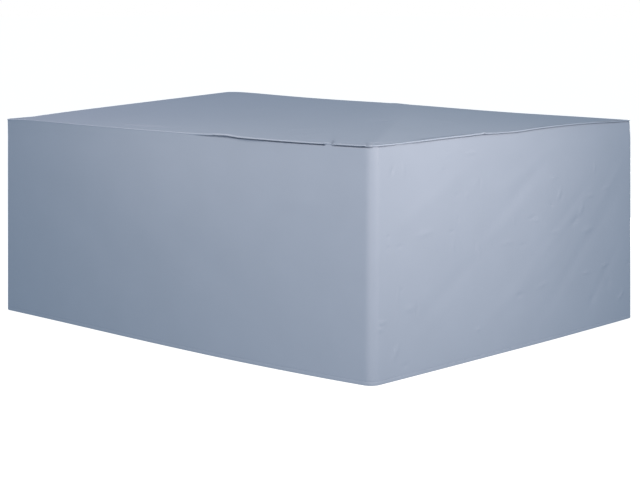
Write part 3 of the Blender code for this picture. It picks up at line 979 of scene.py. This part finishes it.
def skirt_mesh(shape):
    """One wall strip round all four sides, turned in under the top and hemmed at the ground."""
    places = shape.outline_places(SKIRT_STEPS, CORNER_STEP, FINE_SPANS)
    places.append(places[0])
    rows = skirt_rows(shape)
    last_column = len(places) - 1
    last_row = len(rows) - 1
    # How far round the strip each column lies, and how far down its cut edge each row does.
    round_strip = ways_along([(place.x, place.y) for place in places])
    down_strip = ways_along([shape.skirt_point(places[0], row)[0] for row in rows])
    bm = bmesh.new()
    bmesh.ops.create_grid(bm, x_segments=last_column, y_segments=last_row, size=1.0)
    shade = bm.verts.layers.float.new(PAINTED_SHADE_LAYER)
    flat_places = {}
    for vertex in bm.verts:
        column = round((vertex.co.x + 1) / 2 * last_column)
        row = round((1 - vertex.co.y) / 2 * last_row)
        # the share in the gap under the lip is also its painted shade
        vertex.co, vertex[shade] = shape.skirt_point(places[column], rows[row])
        flat_places[vertex] = (round_strip[column], -down_strip[row])
    lay_flat_map(bm, flat_places)
    bmesh.ops.remove_doubles(bm, verts=bm.verts, dist=SAME_POINT)
    return bm


def stitch_row(sizes, points, outwards):
    """A row of stitches along closed points, each half sunk in the cloth that faces outwards."""
    bm = bmesh.new()
    half_size = (sizes.stitch_length / 2, sizes.thread / 2, sizes.thread / 2, 1.0)
    for point, after, outward in zip(points, points[1:] + points[:1], outwards):
        along = (after - point).normalized()
        across = along.cross(outward).normalized()
        turn = Matrix((along, across, along.cross(across))).transposed().to_4x4()
        place = Matrix.Translation((point + after) / 2) @ turn @ Matrix.Diagonal(half_size)
        bmesh.ops.create_icosphere(bm, subdivisions=1, radius=1.0, matrix=place)
    return bm


class COVER_OT_top_panel(bpy.types.Operator):
    """Makes the crowned top panel with its raised seam and lip"""

    bl_idname = "cover.top_panel"
    bl_label = "Top panel"

    def execute(self, context):
        shape = CoverShape(context.scene.cover_sizes)
        material = coated_polyester(context.scene.cover_colours)
        piece = finished("top_panel_cloth", top_panel_mesh(shape), material)
        solidify = piece.modifiers.new("cloth thickness", "SOLIDIFY")
        solidify.thickness = shape.sizes.cloth
        solidify.offset = -1.0
        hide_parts("top_panel")
        return {"FINISHED"}


class COVER_OT_skirt(bpy.types.Operator):
    """Makes the skirt, one wall strip with its allowance and folded hem"""

    bl_idname = "cover.skirt"
    bl_label = "Skirt"

    def execute(self, context):
        shape = CoverShape(context.scene.cover_sizes)
        material = coated_polyester(context.scene.cover_colours)
        piece = finished("skirt_cloth", skirt_mesh(shape), material)
        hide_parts("skirt")
        return {"FINISHED"}


class COVER_OT_stitching(bpy.types.Operator):
    """Sews the row of stitches at the foot of the raised seam and the one round the hem"""

    bl_idname = "cover.stitching"
    bl_label = "Stitching"

    def execute(self, context):
        sizes = context.scene.cover_sizes
        shape = CoverShape(sizes)
        material = polyester_thread(context.scene.cover_colours)
        pitch = sizes.stitch_pitch
        places = shape.outline_places(dict.fromkeys(SKIRT_STEPS, pitch), pitch, {})
        seam = [Vector(shape.panel_point(place, SEAM_STITCH)) for place in places]
        inwards = [Vector((-place.nx, -place.ny, SEAM_SLOPE)).normalized() for place in places]
        finished("seam_thread", stitch_row(sizes, seam, inwards), material)
        level, inset = HEM_STITCH
        hem = [Vector(shape.moved_out(place, level, inset)) for place in places]
        outwards = [Vector((place.nx, place.ny, 0.0)) for place in places]
        finished("hem_thread", stitch_row(sizes, hem, outwards), material)
        return {"FINISHED"}


class COVER_OT_studio(bpy.types.Operator):
    """Makes the plain pale floor, the soft lights and the camera"""

    bl_idname = "cover.studio"
    bl_label = "Studio"

    def execute(self, context):
        studio = context.scene.cover_studio
        self.lay_floor()
        self.light_room(context, studio)
        for light in SOFT_LIGHTS:
            self.hang_light(light, getattr(studio, light.name.replace(" ", "_")))
        camera_data = bpy.data.cameras.new("camera")
        camera_data.lens = studio.lens
        camera_data.sensor_width = SENSOR_WIDTH
        camera = added("camera", camera_data)
        camera.location = studio.camera_place
        camera.rotation_euler = (QUARTER - studio.camera_pitch, 0.0, studio.camera_turn)
        context.scene.camera = camera
        context.scene.view_settings.view_transform = "Standard"
        return {"FINISHED"}

    def lay_floor(self):
        """A wide floor that shows nearly white and takes the cover's faint contact shade."""
        bm = bmesh.new()
        bmesh.ops.create_grid(bm, x_segments=1, y_segments=1, size=FLOOR_REACH)
        bmesh.ops.translate(bm, verts=bm.verts, vec=(0.0, 0.0, CAD_LOW.z))
        material, tree, shader = new_material("lit white studio board")
        set_inputs(tree, shader, {
            "Base Color": shade_of(WHITE, FLOOR_SHADE),
            "Roughness": 1.0,
            "Specular IOR Level": 0.0,
            "Emission Color": shade_of(WHITE, 1.0),
            "Emission Strength": FLOOR_GLOW,
        })
        floor = added("floor", mesh_of("floor", bm, material))
        floor.visible_diffuse = False  # its glow would flatten the shading of the walls
        floor.visible_glossy = False

    def light_room(self, context, studio):
        """The pale room: white behind the cover, and an even cool light on everything."""
        world = context.scene.world or bpy.data.worlds.new("studio")
        context.scene.world = world
        world.use_nodes = True
        tree = world.node_tree
        background = tree.nodes["Background"]
        background.inputs["Color"].default_value = shade_of(studio.room, 1.0)
        backdrop = add_node(tree, "Background", "Background", {"Color": shade_of(WHITE, 1.0)})
        seen = add_node(tree, "MixShader", "Shader", {
            0: add_node(tree, "LightPath", "Is Camera Ray"),
            1: background.outputs["Background"],
            2: backdrop,
        })
        set_inputs(tree, tree.nodes["World Output"], {"Surface": seen})

    def hang_light(self, light, watts):
        """One softbox, out of the camera's sight."""
        lamp = bpy.data.lights.new(light.name, "AREA")
        lamp.shape = "DISK"
        lamp.size = light.width
        lamp.energy = watts
        lamp.color = linear(light.tint)
        softbox = added(light.name, lamp)
        softbox.location = light.place
        aim = Vector(light.aim) - Vector(light.place)
        softbox.rotation_euler = aim.to_track_quat("-Z", "Y").to_euler()
        softbox.visible_camera = False


class COVER_PT_panel(bpy.types.Panel):
    """Lists the pieces of the cover in the sidebar"""

    bl_idname = "COVER_PT_panel"
    bl_label = "Furniture cover"
    bl_space_type = "VIEW_3D"
    bl_region_type = "UI"
    bl_category = "Cover"

    def draw(self, context):
        for operator in OPERATORS:
            self.layout.operator(operator.bl_idname)
        for group_name, group in GROUPS.items():
            settings = getattr(context.scene, group_name)
            for name in group.__annotations__:
                self.layout.prop(settings, name)


GROUPS = {
    "cover_sizes": CoverSizes,
    "cover_colours": CoverColours,
    "cover_studio": StudioSettings,
}
OPERATORS = (COVER_OT_top_panel, COVER_OT_skirt, COVER_OT_stitching, COVER_OT_studio)


def register():
    """Makes the settings, the operators and the panel known to Blender."""
    for cls in (*GROUPS.values(), *OPERATORS, COVER_PT_panel):
        bpy.utils.register_class(cls)
    for name, group in GROUPS.items():
        setattr(bpy.types.Scene, name, PointerProperty(type=group))


def unregister():
    """Takes them away again."""
    for name in GROUPS:
        delattr(bpy.types.Scene, name)
    for cls in (COVER_PT_panel, *reversed(OPERATORS), *reversed(list(GROUPS.values()))):
        bpy.utils.unregister_class(cls)


def main():
    """Builds every piece and the studio."""
    register()
    bpy.ops.cover.top_panel()
    bpy.ops.cover.skirt()
    bpy.ops.cover.stitching()
    bpy.ops.cover.studio()


if __name__ == "__main__":
    main()
